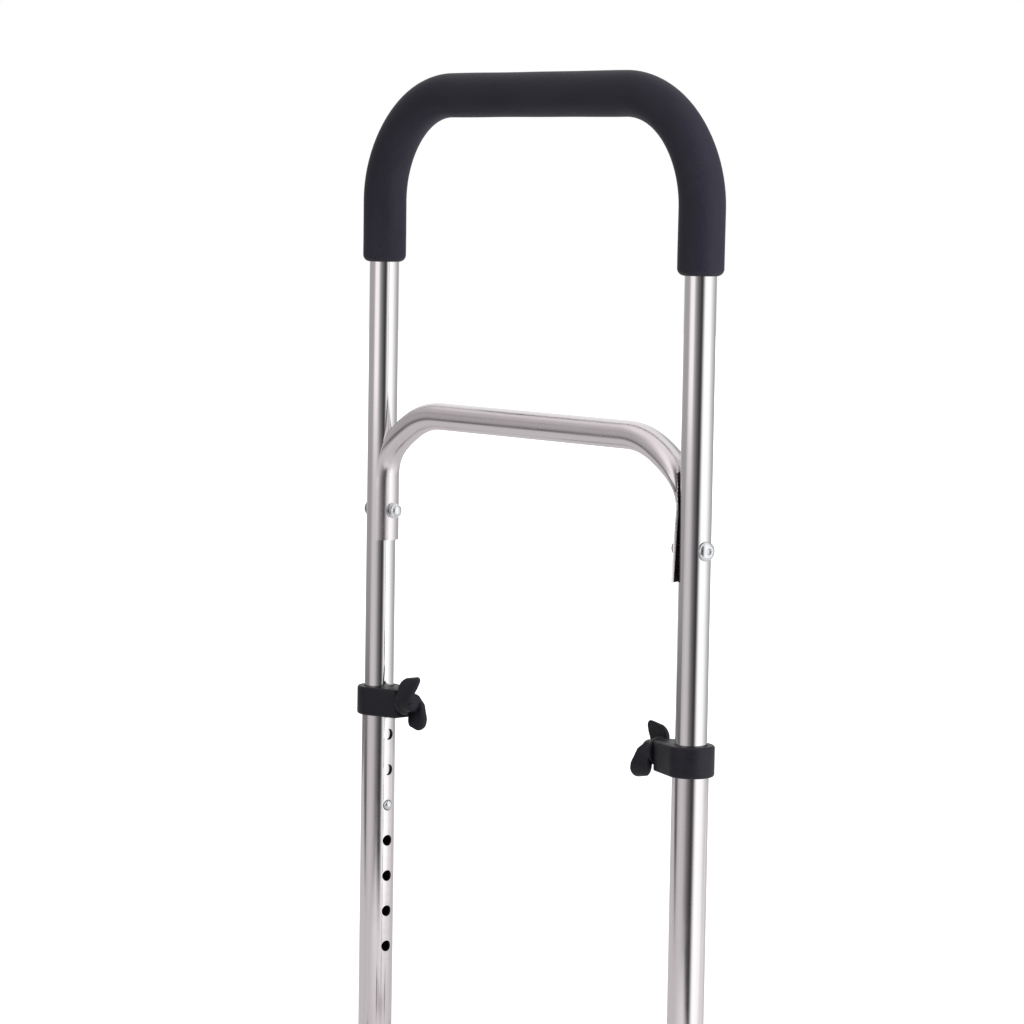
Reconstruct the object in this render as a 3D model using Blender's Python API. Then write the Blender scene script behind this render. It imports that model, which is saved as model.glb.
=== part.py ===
"""Toilet safety frame: a free-standing support rail with a foam grip and two legs of adjustable height.

The rail is an inverted U of polished tube. Each of its ends slides in a wider leg tube, is held at one of
seven heights by a spring button, and is clamped by a wing screw in a plastic collar. The leg tubes stand in
sockets on two floor runners with rubber feet.

The frame is +X along the rail (left leg at -X, right leg at +X), +Z up, with the origin on the floor under
the middle of the rail. Lengths are in metres.
"""

import math

import bmesh
import bpy
from mathutils import Matrix, Vector

# ---- driving dimensions ----
GAP = 0.0003                 # between pieces that touch

RAIL_WIDTH = 0.340           # between the centrelines of the legs
RAIL_TOP = 0.770             # centreline of the top run, above the floor
RAIL_BEND = 0.0765           # bend radius of the rail, on the centreline
RAIL_R = 0.0110              # outer radius of the rail tube
RAIL_END = RAIL_TOP - 0.541  # lower end of the rail tube
LEG_R = 0.0125               # outer radius of the leg tube
LEG_BORE_R = RAIL_R + GAP
TUBE_WALL = 0.0012

GRIP_R = 0.0160              # outer radius of the foam
GRIP_END = RAIL_TOP - 0.121  # where the foam ends on each leg

BRACE_TOP = RAIL_TOP - 0.231
BRACE_END = RAIL_TOP - 0.326
BRACE_BEND = 0.066
BRACE_R = 0.0099
BRACE_WALL = 0.0009
BRACE_INSET = 0.0026         # from the leg's centreline to the brace's
SADDLE_SPAN = math.radians(56)   # the pressed end hugs this much of the leg, each way
SADDLE_THICK = 0.0024
FRONT_EDGE_LIFT = 0.0028     # the pressed end's front edge stands this far off the leg at its foot
BACK_EDGE_LIFT = 0.0004
FLARE_TOP = BRACE_END + 0.060    # where the front edge starts to stand off

BOLT_Z = RAIL_TOP - 0.304
BOLT_R = 0.0028
BOLT_HEAD_R = 0.0067
BOLT_HEAD_HEIGHT = 0.0036
BOLT_BEYOND_SEAT = 0.0030    # the thread that the nut takes
BOLT_HOLE_R = BOLT_R + GAP
WASHER_R = 0.0062
WASHER_THICK = 0.0008

HOLE_COUNT = 7
HOLE_PITCH = 0.0266
HOLE_R = 0.0041
TOP_HOLE_Z = RAIL_TOP - 0.471
BUTTON_HOLE = 2              # the hole that the button sits in, counted from the top one as 0
BUTTON_Z = TOP_HOLE_Z - BUTTON_HOLE * HOLE_PITCH
BUTTON_R = HOLE_R - 0.0004
BUTTON_TIP = 0.0148          # from the leg's centreline
BUTTON_DOME = 0.0024
BUTTON_FLANGE_R = 0.0048
BUTTON_FLANGE = (0.0066, 0.0078)   # where the flange starts and ends, from the leg's centreline
SPRING_THICK = 0.0006
SPRING_HALF_WIDTH = 0.0030

COLLAR_TOP = RAIL_TOP - 0.4354
COLLAR_HEIGHT = 0.0212
COLLAR_R = 0.0163
COLLAR_LIP = 0.0035          # rests on the end of the leg tube
COLLAR_EDGE = 0.0016
LUG_END = 0.0294             # from the leg's centreline
LUG_HALF = 0.0076
CLAMP_Z = RAIL_TOP - 0.444
STUD_R = 0.0030
STUD_HOLE_R = STUD_R + GAP
CLAMP_NUT_HALF = 0.0050      # half its width across flats
CLAMP_NUT_LENGTH = 0.0050
PAD_R = 0.0031
PAD_START = RAIL_R + GAP
PAD_END = PAD_START + 0.0022
KNOB_START = LUG_END + 0.0005
STUD_END = KNOB_START + 0.0105
STUD_CHAMFER = 0.0006
WING_THICK = 0.0054
WING_BESIDE = 0.0060         # each wing stands this far to one side of the knob's axis
WING_CURVE = 0.0307          # and curves back over the axis with this radius
WING_WIDEST = 0.0030         # from this height on
WING_EDGE = 0.0014
KNOB_TURN = {"left": 0.0, "right": math.radians(17)}
HUB_R = 0.0068
HUB_END = 0.0420
HUB_DOME = 0.0018
FLANGE_R = 0.0100
FLANGE_EDGE = 0.0003

RUNNER_HALF = 0.205
RUNNER_R = 0.0125
RUNNER_Z = 0.0185
SOCKET_TOP = 0.070
SOCKET_R = 0.0146            # outer radius of the socket
SOCKET_BOLT_Z = 0.053
SOCKET_BOTTOM = RUNNER_Z + 0.005   # part way down the runner's flanks
CROSS_R = 0.0110
FOOT_R = 0.0160
FOOT_LENGTH = 0.030
FOOT_END_WALL = 0.004
FOOT_FLAT_HALF = 0.0135      # half the width of the flat that it stands on
FOOT_EDGE = 0.0012

LEG_TOP = COLLAR_TOP - COLLAR_LIP - GAP
LEG_BOTTOM = RUNNER_Z + RUNNER_R + 0.003
SIDES = {"left": -1, "right": 1}
ROUND = 24                   # sides of a tube
SMALL_ROUND = 14             # sides of a screw or a small hole
NUT_SIDES = 18               # a multiple of six whose half step lands on a hexagon's corners
SADDLE_SIDES = ROUND - 2     # a cut as wide as the bore that it crosses has other corners
BEND_STEPS = 8


# ---- materials ----
def make_material(name, color, metallic, roughness):
    material = bpy.data.materials.new(name)
    material.use_nodes = True
    shader = material.node_tree.nodes["Principled BSDF"]
    shader.inputs["Base Color"].default_value = (*color, 1.0)
    shader.inputs["Metallic"].default_value = metallic
    shader.inputs["Roughness"].default_value = roughness
    material.diffuse_color = (*color, 1.0)
    return material


def make_materials():
    return {
        "steel": make_material("polished_steel", (0.72, 0.71, 0.72), 1.0, 0.12),
        "zinc": make_material("zinc_fastener", (0.70, 0.72, 0.73), 1.0, 0.25),
        "spring": make_material("spring_steel", (0.45, 0.45, 0.47), 1.0, 0.35),
        "foam": make_material("grip_foam", (0.022, 0.021, 0.026), 0.0, 0.75),
        "plastic": make_material("black_plastic", (0.018, 0.017, 0.022), 0.0, 0.45),
        "rubber": make_material("foot_rubber", (0.030, 0.030, 0.032), 0.0, 0.85),
    }


# ---- mesh tools ----
def make_object(name, bm, material):
    bmesh.ops.recalc_face_normals(bm, faces=bm.faces)
    mesh = bpy.data.meshes.new(name)
    bm.to_mesh(mesh)
    bm.free()
    mesh.shade_smooth()
    mesh.set_sharp_from_angle(angle=math.radians(35))
    mesh.materials.append(material)
    obj = bpy.data.objects.new(name, mesh)
    bpy.context.scene.collection.objects.link(obj)
    return obj


def join_rings(bm, first, second):
    """Faces between two rings of vertices; a ring of one vertex is a pole."""
    count = max(len(first), len(second))
    for i in range(count):
        j = (i + 1) % count
        low = [first[i % len(first)], first[j % len(first)]]
        high = [second[j % len(second)], second[i % len(second)]]
        bm.faces.new(list(dict.fromkeys(low + high)))


def loft(name, rings, material, closed=False):
    """A skin over rings of points. Closed joins the last ring to the first; otherwise the ends are poles."""
    bm = bmesh.new()
    loops = [[bm.verts.new(point) for point in ring] for ring in rings]
    for first, second in zip(loops, loops[1:]):
        join_rings(bm, first, second)
    if closed:
        join_rings(bm, loops[-1], loops[0])
    return make_object(name, bm, material)


def round_section(angle):
    return 1.0


def hexagon_section(angle):
    """Radius of a hexagon at an angle, with 1 to its corners, which are at 30 degrees and every 60 on."""
    sixth = math.radians(60)
    return math.cos(sixth / 2) / math.cos((angle + sixth / 2) % sixth - sixth / 2)


def ring_angles(sides):
    """Half a step off zero, so that a hole drilled along an axis starts on a flat."""
    return [2 * math.pi * (i + 0.5) / sides for i in range(sides)]


def turned_rings(profile, sides, section=round_section):
    """Rings about the X axis from (x, radius) pairs, or (x, radius, section) to give one ring a shape."""
    rings = []
    for x, radius, *shape in profile:
        scale = shape[0] if shape else section
        angles = ring_angles(sides if radius else 1)
        rings.append([
            Vector((x, radius * scale(a) * math.cos(a), radius * scale(a) * math.sin(a))) for a in angles
        ])
    return rings


def turned(name, profile, material, sides=SMALL_ROUND, closed=False):
    return loft(name, turned_rings(profile, sides), material, closed)


def straight_tube(name, start, end, outer, inner, material):
    """A tube between two points, hollow along its whole length."""
    along = Vector(end) - Vector(start)
    turn = Vector((1, 0, 0)).rotation_difference(along)
    profile = [(0, inner), (0, outer), (along.length, outer), (along.length, inner)]
    rings = [[Vector(start) + turn @ p for p in ring] for ring in turned_rings(profile, ROUND)]
    return loft(name, rings, material, closed=True)


def prism(name, outline, low, high, material, axis="z"):
    """An outline extruded along Z, or an (x, z) outline extruded along Y."""
    def point(a, b, c):
        return Vector((a, b, c)) if axis == "z" else Vector((a, c, b))

    bm = bmesh.new()
    bottom = [bm.verts.new(point(a, b, low)) for a, b in outline]
    top = [bm.verts.new(point(a, b, high)) for a, b in outline]
    bm.faces.new(bottom)
    bm.faces.new(top)
    join_rings(bm, bottom, top)
    return make_object(name, bm, material)


def arc(center, radius, start, end, steps):
    """Points on an arc, with its angles in degrees."""
    angles = [math.radians(start + (end - start) * i / steps) for i in range(steps + 1)]
    return [(center[0] + radius * math.cos(a), center[1] + radius * math.sin(a)) for a in angles]


def bevel(obj, width, segments):
    modifier = obj.modifiers.new("edges", "BEVEL")
    modifier.width = width
    modifier.segments = segments
    modifier.limit_method = "ANGLE"
    modifier.angle_limit = math.radians(40)


def boolean(obj, tool, operation):
    """Cuts with a tool, or joins it on. The tool is a guide and isn't part of the frame."""
    tool.hide_render = True
    tool.display_type = "WIRE"
    tool.parent = obj
    modifier = obj.modifiers.new(operation.lower(), "BOOLEAN")
    modifier.operation = operation
    modifier.solver = "EXACT"
    modifier.object = tool


def bore(obj, start, end, radius, sides=SMALL_ROUND):
    """A round hole from one point to another, in the object's own coordinates."""
    along = Vector(end) - Vector(start)
    turn = Vector((1, 0, 0)).rotation_difference(along)
    rings = turned_rings([(0, 0), (0, radius), (along.length, radius), (along.length, 0)], sides)
    placed = [[Vector(start) + turn @ p for p in ring] for ring in rings]
    boolean(obj, loft(obj.name + "_bore", placed, obj.data.materials[0]), "DIFFERENCE")


def make_pivot(name, location, parent=None):
    pivot = bpy.data.objects.new(name, None)
    pivot.empty_display_size = 0.02
    pivot.location = Vector(location) - (parent.matrix_basis.translation if parent else Vector())
    pivot.parent = parent
    bpy.context.scene.collection.objects.link(pivot)
    return pivot


def place(obj, side, z, pivot=None, turn=0.0):
    """Sets a piece built with its leg on the Z axis and +X towards the other leg. Turn is about its X."""
    location = Vector((SIDES[side] * RAIL_WIDTH / 2, 0, z))
    if pivot:
        parent = pivot
        while parent:
            location -= parent.location
            parent = parent.parent
        obj.parent = pivot
    obj.location = location
    obj.rotation_euler = (turn, 0, 0 if side == "left" else math.pi)


# ---- the rail ----
def arch_path(half_width, top, bend, end):
    """(centre, direction) along an inverted U from its left end to its right end, bends included."""
    path = [(Vector((-half_width, 0, end)), Vector((0, 0, 1)))]
    for i in range(BEND_STEPS + 1):
        a = math.radians(90) * i / BEND_STEPS
        center = Vector((-half_width + bend * (1 - math.cos(a)), 0, top - bend * (1 - math.sin(a))))
        path.append((center, Vector((math.sin(a), 0, math.cos(a)))))
    mirrored = [(Vector((-c.x, 0, c.z)), Vector((d.x, 0, -d.z))) for c, d in reversed(path)]
    return path + mirrored


def swept_ring(center, direction, radius, sides=ROUND):
    """A ring about a path in the XZ plane. Angle 0 points to the inside of the arch."""
    inward = Vector((direction.z, 0, -direction.x))
    ring = []
    for a in ring_angles(sides):
        ring.append(center + radius * (math.cos(a) * inward + math.sin(a) * Vector((0, 1, 0))))
    return ring


def arch_tube(name, path, outer, inner, material):
    outside = [swept_ring(c, d, outer) for c, d in path]
    inside = [swept_ring(c, d, inner) for c, d in path]
    return loft(name, outside + inside[::-1], material, closed=True)


def make_rail(material, pivot):
    path = arch_path(RAIL_WIDTH / 2, RAIL_TOP, RAIL_BEND, RAIL_END)
    rail = arch_tube("handle_tube", path, RAIL_R, RAIL_R - TUBE_WALL, material)
    for sign in SIDES.values():
        x = sign * RAIL_WIDTH / 2
        bore(rail, (x - 0.02, 0, BOLT_Z), (x + 0.02, 0, BOLT_Z), BOLT_HOLE_R)
        bore(rail, (x, 0, BUTTON_Z), (x - sign * 0.02, 0, BUTTON_Z), HOLE_R)
    hang_on(rail, pivot)


def make_grip(material, pivot):
    path = arch_path(RAIL_WIDTH / 2, RAIL_TOP, RAIL_BEND, GRIP_END)
    hang_on(arch_tube("hand_grip", path, GRIP_R, RAIL_R + GAP, material), pivot)


def hang_on(obj, pivot):
    """Parents an object that is modelled in place, and leaves it where it is."""
    obj.parent = pivot
    obj.location = -pivot.location


# ---- the brace ----
def edge_lift(across, z):
    """How far the pressed end stands off the leg, from -1 at its front edge to 1 at its back edge."""
    down = min(max((FLARE_TOP - z) / (FLARE_TOP - BRACE_END), 0), 1)
    most = FRONT_EDGE_LIFT * down if across < 0 else BACK_EDGE_LIFT
    return most * across ** 2


def saddle_point(leg_x, z, angle, offset):
    """A point of the end that hugs the leg. Angle 0 is its inner face, half a turn its outer face."""
    toward = -math.copysign(1, leg_x)
    turned_angle = (angle + math.pi / 2) % (2 * math.pi) - math.pi / 2
    on_face = turned_angle <= math.pi / 2
    across = turned_angle / (math.pi / 2) if on_face else 2 - turned_angle / (math.pi / 2)
    spread = across * (SADDLE_SPAN - offset / RAIL_R)
    radius = RAIL_R + GAP + edge_lift(across, z) + (SADDLE_THICK - offset if on_face else offset)
    return Vector((leg_x + toward * radius * math.cos(spread), radius * math.sin(spread), z))


def brace_ring(center, direction, offset):
    """The brace's section, round at the top and pressed to a saddle where it would meet the leg."""
    leg_x = math.copysign(RAIL_WIDTH / 2, center.x)
    above_bend = (center.z - (BRACE_TOP - BRACE_BEND)) / BRACE_BEND
    press = min(max((0.72 - above_bend) / 0.62, 0), 1)
    press = press * press * (3 - 2 * press)
    clear = RAIL_R + GAP + offset
    ring = []
    for angle, point in zip(ring_angles(ROUND), swept_ring(center, direction, BRACE_R - offset)):
        target = saddle_point(leg_x, point.z, angle, offset)
        target.z += (center.z - target.z) * press
        point = point.lerp(target, press)
        away = Vector((point.x - leg_x, point.y))
        if away.length < clear:
            away = away.normalized() * clear
            point = Vector((leg_x + away.x, away.y, point.z))
        ring.append(point)
    return ring


def make_brace(material, pivot):
    path = arch_path(RAIL_WIDTH / 2 - BRACE_INSET, BRACE_TOP, BRACE_BEND, BRACE_END)
    outside = [brace_ring(c, d, 0.0) for c, d in path]
    inside = [brace_ring(c, d, BRACE_WALL) for c, d in path]
    brace = loft("brace_tube", outside + inside[::-1], material, closed=True)
    for sign in SIDES.values():
        x = sign * RAIL_WIDTH / 2
        bore(brace, (x, 0, BOLT_Z), (x - sign * 0.03, 0, BOLT_Z), BOLT_HOLE_R)
    hang_on(brace, pivot)


def domed_bolt(name, head_face, tip, material):
    """A bolt along X, with a low domed head that has a small round recess."""
    height = BOLT_HEAD_HEIGHT
    dome = [(head_face - height * math.sin(a), BOLT_HEAD_R * math.cos(a))
            for a in (math.radians(d) for d in (60, 40, 20, 0))]
    recess_r = 0.0016
    recess = [(head_face - height * 0.55, 0), (head_face - height * 0.55, recess_r),
              (head_face - height * 0.95, recess_r)]
    shank = [(head_face, BOLT_R), (tip, BOLT_R), (tip, 0)]
    return turned(name, recess + dome + shank, material)


def cap_nut(name, face, material, half_width=0.0048, hex_height=0.0032, dome=0.0022):
    """An acorn nut along X with a blind hole, its seat at face."""
    corner = half_width / math.cos(math.radians(30))
    hex_end = face + hex_height
    dome_start = hex_end + 0.0001
    hole_end = hex_end + dome * 0.3
    profile = [(hole_end, 0), (hole_end, BOLT_HOLE_R), (face, BOLT_HOLE_R)]
    profile += [(face, corner, hexagon_section), (hex_end, corner, hexagon_section)]
    for degrees in (0, 30, 60):
        a = math.radians(degrees)
        profile.append((dome_start + dome * math.sin(a), half_width * 0.94 * math.cos(a)))
    profile.append((dome_start + dome, 0))
    return turned(name, profile, material, sides=NUT_SIDES)


def make_brace_fasteners(side, materials, pivot):
    seat = RAIL_R + GAP + SADDLE_THICK + GAP
    washer_face = seat + WASHER_THICK
    nut_face = washer_face + GAP
    profile = [(seat, BOLT_HOLE_R), (seat, WASHER_R), (washer_face, WASHER_R), (washer_face, BOLT_HOLE_R)]
    washer = turned(f"brace_washer_{side}", profile, materials["zinc"], closed=True)
    bolt = domed_bolt(f"brace_bolt_{side}", -RAIL_R - GAP, nut_face + BOLT_BEYOND_SEAT, materials["zinc"])
    nut = cap_nut(f"brace_nut_{side}", nut_face, materials["zinc"])
    for piece in (washer, bolt, nut):
        place(piece, side, BOLT_Z, pivot)


# ---- the spring button ----
def make_button(side, material, pivot):
    start, end = BUTTON_FLANGE
    dome_start = BUTTON_TIP - BUTTON_DOME
    profile = [(start, 0), (start, BUTTON_FLANGE_R), (end, BUTTON_FLANGE_R), (end, BUTTON_R)]
    for degrees in (0, 22, 45, 68):
        a = math.radians(degrees)
        profile.append((dome_start + BUTTON_DOME * math.sin(a), BUTTON_R * math.cos(a)))
    profile.append((BUTTON_TIP, 0))
    place(turned(f"snap_button_{side}", profile, material), side, BUTTON_Z, pivot)


def make_button_spring(side, material, pivot):
    """A V of strip steel inside the rail: one leaf carries the button, the other bears on the far wall."""
    behind_button, far_wall = 0.0060, -0.0087
    route = [(behind_button, -0.0045), (behind_button, 0.0050)]
    route += arc((-0.0014, 0.0370), 0.0021, 10, 170, 6)
    route += [(far_wall, 0.0050), (far_wall, -0.0090)]
    left, right = [], []
    for i, (x, z) in enumerate(route):
        before = Vector(route[max(i - 1, 0)])
        after = Vector(route[min(i + 1, len(route) - 1)])
        along = (after - before).normalized()
        aside = Vector((-along.y, along.x)) * SPRING_THICK / 2
        left.append((x + aside.x, z + aside.y))
        right.append((x - aside.x, z - aside.y))
    half = SPRING_HALF_WIDTH
    spring = prism(f"button_spring_{side}", left + right[::-1], -half, half, material, axis="y")
    place(spring, side, BUTTON_Z, pivot)


# ---- the leg tubes and clamps ----
def make_leg(side, material):
    leg = straight_tube(f"outer_leg_{side}", (0, 0, LEG_BOTTOM), (0, 0, LEG_TOP), LEG_R, LEG_BORE_R, material)
    for i in range(HOLE_COUNT):
        z = TOP_HOLE_Z - i * HOLE_PITCH
        bore(leg, (0, 0, z), (0.02, 0, z), HOLE_R)
    bore(leg, (0, 0, CLAMP_Z), (0.02, 0, CLAMP_Z), PAD_R + 2 * GAP)
    bore(leg, (0, -0.02, SOCKET_BOLT_Z), (0, 0.02, SOCKET_BOLT_Z), BOLT_HOLE_R)
    place(leg, side, 0)


def collar_outline():
    """A ring that runs out on straight flanks to a lug at +X."""
    reach = math.hypot(LUG_END, LUG_HALF)
    lug_angle = math.degrees(math.atan2(LUG_HALF, LUG_END))
    tangent = lug_angle + math.degrees(math.acos(COLLAR_R / reach))
    return [(LUG_END, -LUG_HALF), (LUG_END, LUG_HALF)] + arc((0, 0), COLLAR_R, tangent, 360 - tangent, 18)


def make_collar(side, material):
    bottom = COLLAR_TOP - COLLAR_HEIGHT - CLAMP_Z
    top = COLLAR_TOP - CLAMP_Z
    collar = prism(f"clamp_collar_{side}", collar_outline(), bottom, top, material)
    bevel(collar, COLLAR_EDGE, 2)
    bore(collar, (0, 0, bottom - 0.01), (0, 0, top + 0.01), RAIL_R + 0.0004, ROUND)
    bore(collar, (0, 0, bottom - 0.01), (0, 0, top - COLLAR_LIP), LEG_R + GAP, ROUND)
    bore(collar, (0.005, 0, 0), (LUG_END + 0.01, 0, 0), STUD_HOLE_R + GAP)
    corner = (CLAMP_NUT_HALF + GAP) / math.cos(math.radians(30))
    start = LUG_END - CLAMP_NUT_LENGTH - 2 * GAP
    pocket = turned_rings([(start, 0), (start, corner), (LUG_END + 0.01, corner), (LUG_END + 0.01, 0)], 6)
    boolean(collar, loft(f"nut_pocket_{side}", pocket, material), "DIFFERENCE")
    place(collar, side, CLAMP_Z)


def make_clamp_nut(side, material):
    corner = CLAMP_NUT_HALF / math.cos(math.radians(30))
    start = LUG_END - CLAMP_NUT_LENGTH - GAP
    end = LUG_END - GAP
    profile = [(start, STUD_HOLE_R), (start, corner, hexagon_section),
               (end, corner, hexagon_section), (end, STUD_HOLE_R)]
    nut = turned(f"clamp_nut_{side}", profile, material, sides=NUT_SIDES, closed=True)
    place(nut, side, CLAMP_Z)


def make_clamp_pad(side, material, pivot):
    profile = [(PAD_START, 0), (PAD_START, PAD_R), (PAD_END, PAD_R), (PAD_END, 0)]
    place(turned(f"clamp_pad_{side}", profile, material), side, CLAMP_Z, pivot)


def make_stud(side, material, pivot):
    start = PAD_END + GAP
    profile = [(start, 0), (start, STUD_R * 0.8), (start + STUD_CHAMFER, STUD_R)]
    profile += [(STUD_END, STUD_R), (STUD_END, 0)]
    place(turned(f"knob_stud_{side}", profile, material), side, CLAMP_Z, pivot)


def wing_outline():
    """One wing of the knob, seen along Y: a leaf whose tip points up and outwards."""
    outline = [(0.0340, -0.0052), (0.0315, -0.0010), (0.0311, 0.0100)]
    outline += arc((0.0395, 0.0105), 0.0084, 172, 112, 3) + arc((0.0461, 0.0156), 0.0043, 100, -20, 5)
    return outline + [(0.0468, 0.0064), (0.0450, 0.0010), (0.0390, -0.0052)]


def make_wing(name, material):
    """A thick leaf that stands beside the hub and curves back over it towards its tip."""
    wing = prism(name, wing_outline(), -WING_THICK / 2, WING_THICK / 2, material, axis="y")
    bm = bmesh.new()
    bm.from_mesh(wing.data)
    for height in sorted({z for x, z in wing_outline()})[1:-1]:
        bmesh.ops.bisect_plane(bm, geom=bm.verts[:] + bm.edges[:] + bm.faces[:],
                               plane_co=(0, 0, height), plane_no=(0, 0, 1))
    for vert in bm.verts:
        rise = vert.co.z - WING_WIDEST
        vert.co.y -= WING_BESIDE - (WING_CURVE - math.sqrt(WING_CURVE ** 2 - rise ** 2))
    bm.to_mesh(wing.data)
    bm.free()
    bevel(wing, WING_EDGE, 1)
    return wing


def make_knob(side, material, pivot):
    """A hub with a flange, and two wings opposite each other."""
    profile = [(KNOB_START, 0), (KNOB_START, FLANGE_R - FLANGE_EDGE)]
    profile += [(KNOB_START + 2 * FLANGE_EDGE, FLANGE_R), (KNOB_START + 0.0030, FLANGE_R)]
    profile += [(KNOB_START + 0.0060, 0.0080), (HUB_END, HUB_R)]
    for degrees in (35, 65):
        a = math.radians(degrees)
        profile.append((HUB_END + HUB_DOME * math.sin(a), HUB_R * math.cos(a)))
    profile += [(HUB_END + HUB_DOME, 0)]
    knob = turned(f"wing_knob_{side}", profile, material, sides=16)
    for half_turn in (0, math.pi):
        wing = make_wing(f"wing_{side}", material)
        wing.data.transform(Matrix.Rotation(half_turn, 4, "X"))
        boolean(knob, wing, "UNION")
    bore(knob, (KNOB_START - 0.01, 0, 0), (STUD_END + GAP, 0, 0), STUD_R + GAP)
    place(knob, side, CLAMP_Z, pivot, KNOB_TURN[side])


# ---- the base ----
def make_runner(side, material):
    x = SIDES[side] * RAIL_WIDTH / 2
    start = (x, -RUNNER_HALF, RUNNER_Z)
    end = (x, RUNNER_HALF, RUNNER_Z)
    straight_tube(f"floor_runner_{side}", start, end, RUNNER_R, RUNNER_R - TUBE_WALL, material)


def make_socket(side, material):
    """A short tube that stands astride the runner and holds the foot of the leg."""
    socket = straight_tube(f"leg_socket_{side}", (0, 0, SOCKET_BOTTOM), (0, 0, SOCKET_TOP),
                           SOCKET_R, LEG_R + GAP, material)
    bore(socket, (0, -0.05, RUNNER_Z), (0, 0.05, RUNNER_Z), RUNNER_R + GAP, SADDLE_SIDES)
    bore(socket, (0, -0.03, SOCKET_BOLT_Z), (0, 0.03, SOCKET_BOLT_Z), BOLT_HOLE_R)
    place(socket, side, 0)


def make_socket_fasteners(side, material):
    bolt = domed_bolt(f"socket_bolt_{side}", -SOCKET_R - GAP, SOCKET_R + GAP + BOLT_BEYOND_SEAT, material)
    nut = cap_nut(f"socket_nut_{side}", SOCKET_R + GAP, material)
    for piece in (bolt, nut):
        piece.location = (SIDES[side] * RAIL_WIDTH / 2, 0, SOCKET_BOLT_Z)
        piece.rotation_euler = (0, 0, math.pi / 2)


def make_cross_tube(material):
    reach = RAIL_WIDTH / 2 - RUNNER_R * 0.5
    tube = straight_tube("cross_tube", (-reach, 0, RUNNER_Z), (reach, 0, RUNNER_Z),
                         CROSS_R, CROSS_R - TUBE_WALL, material)
    for sign in SIDES.values():
        x = sign * RAIL_WIDTH / 2
        bore(tube, (x, -0.05, RUNNER_Z), (x, 0.05, RUNNER_Z), RUNNER_R + GAP, ROUND)
        bore(tube, (x, 0, 0), (x, 0, SOCKET_TOP), SOCKET_R + GAP, ROUND)


def make_foot(name, side, end_sign, material):
    """A rubber boot on the end of a runner, round above and flat where it stands."""
    outline = [(-FOOT_FLAT_HALF, 0), (FOOT_FLAT_HALF, 0)] + arc((0, RUNNER_Z), FOOT_R, -15, 195, 12)
    foot = prism(name, outline, 0, FOOT_LENGTH, material, axis="y")
    bevel(foot, FOOT_EDGE, 1)
    depth = FOOT_LENGTH - FOOT_END_WALL
    bore(foot, (0, -0.01, RUNNER_Z), (0, depth, RUNNER_Z), RUNNER_R + GAP, ROUND)
    inner_end = RUNNER_HALF + GAP - depth
    foot.location = (SIDES[side] * RAIL_WIDTH / 2, end_sign * inner_end, 0)
    foot.rotation_euler = (0, 0, 0 if end_sign > 0 else math.pi)


def make_side(side, materials, rail_pivot):
    """Everything that each leg has."""
    sign = SIDES[side]
    button_pivot = make_pivot(f"button_axis_{side}", (sign * RAIL_WIDTH / 2, 0, BUTTON_Z), rail_pivot)
    pad_pivot = make_pivot(f"pad_axis_{side}", (sign * RAIL_WIDTH / 2, 0, CLAMP_Z))
    knob_pivot = make_pivot(f"knob_axis_{side}", (sign * RAIL_WIDTH / 2, 0, CLAMP_Z), pad_pivot)
    make_brace_fasteners(side, materials, rail_pivot)
    make_button(side, materials["zinc"], button_pivot)
    make_button_spring(side, materials["spring"], rail_pivot)
    make_leg(side, materials["steel"])
    make_collar(side, materials["plastic"])
    make_clamp_nut(side, materials["zinc"])
    make_clamp_pad(side, materials["plastic"], pad_pivot)
    make_stud(side, materials["zinc"], knob_pivot)
    make_knob(side, materials["plastic"], knob_pivot)
    make_runner(side, materials["steel"])
    make_socket(side, materials["steel"])
    make_socket_fasteners(side, materials["zinc"])
    make_foot(f"rubber_foot_front_{side}", side, -1, materials["rubber"])
    make_foot(f"rubber_foot_back_{side}", side, 1, materials["rubber"])


def main():
    for obj in list(bpy.data.objects):
        bpy.data.objects.remove(obj)
    materials = make_materials()
    rail_pivot = make_pivot("rail_slide", (0, 0, RAIL_TOP))
    make_rail(materials["steel"], rail_pivot)
    make_grip(materials["foam"], rail_pivot)
    make_brace(materials["steel"], rail_pivot)
    make_cross_tube(materials["steel"])
    for side in SIDES:
        make_side(side, materials, rail_pivot)


main()
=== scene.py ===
"""Looks of the toilet safety frame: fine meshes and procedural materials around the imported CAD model.

The rest are named here. Lengths are in metres.
"""

import math

import bmesh
import bpy
from mathutils import Matrix, Vector


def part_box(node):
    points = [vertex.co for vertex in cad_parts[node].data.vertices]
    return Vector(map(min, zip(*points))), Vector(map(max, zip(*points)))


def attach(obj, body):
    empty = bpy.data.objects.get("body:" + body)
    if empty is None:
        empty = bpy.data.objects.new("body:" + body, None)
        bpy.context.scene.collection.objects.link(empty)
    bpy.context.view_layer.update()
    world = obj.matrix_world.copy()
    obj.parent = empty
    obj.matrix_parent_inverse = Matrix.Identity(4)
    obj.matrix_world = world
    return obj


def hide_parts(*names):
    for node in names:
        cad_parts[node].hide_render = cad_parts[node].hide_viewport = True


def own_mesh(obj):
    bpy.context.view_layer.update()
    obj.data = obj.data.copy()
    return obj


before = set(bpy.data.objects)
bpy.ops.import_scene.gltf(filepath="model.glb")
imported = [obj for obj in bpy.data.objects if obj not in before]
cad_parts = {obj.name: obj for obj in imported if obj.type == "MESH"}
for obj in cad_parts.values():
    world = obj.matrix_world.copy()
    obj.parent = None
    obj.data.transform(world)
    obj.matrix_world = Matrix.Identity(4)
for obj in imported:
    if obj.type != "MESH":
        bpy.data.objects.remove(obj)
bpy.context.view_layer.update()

# ---- places and sizes ----
SIDES = {"left": -1, "right": 1}
GAP = 0.0003                 # between the CAD model's touching solids
TUBE_WALL = 0.0012
AROUND = 96                  # sides of a fine tube
BEND_STEPS = 48
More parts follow.
